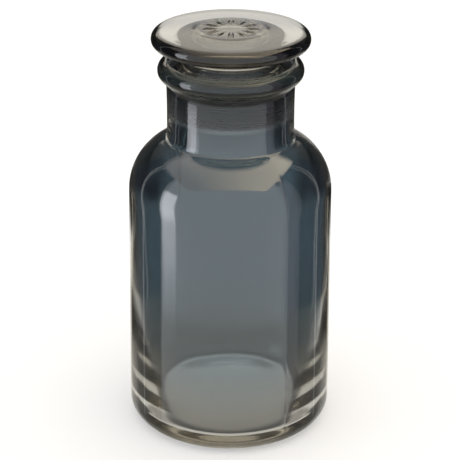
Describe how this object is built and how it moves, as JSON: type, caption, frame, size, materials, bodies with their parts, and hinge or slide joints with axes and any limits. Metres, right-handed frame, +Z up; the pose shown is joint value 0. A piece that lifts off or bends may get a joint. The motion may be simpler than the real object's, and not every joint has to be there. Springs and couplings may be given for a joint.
{
  "type": "apothecary jar",
  "caption": "Wide-mouth smoked glass jar with a round shoulder, rolled lip and a hollow ground-glass stopper that lifts out.",
  "frame": {"origin": "centre of the standing ring under the base", "axes": "+Z up along the jar's axis, towards the stopper; the jar is round, so X and Y are free"},
  "size_m": [0.0694, 0.0694, 0.1396],
  "materials": {
    "jar_glass": "clear smoked glass, blue-grey, ground inside the neck",
    "stopper_glass": "clear smoked glass, warm grey, ground on the plug"
  },
  "bodies": {
    "jar": {"jar_body": "jar_glass"},
    "stopper": {"stopper": "stopper_glass"}
  },
  "joints": [
    {"name": "stopper_lift", "type": "slide", "parent": "jar", "child": "stopper", "axis": [0, 0, 1], "range_m": [0, 0.045]}
  ]
}
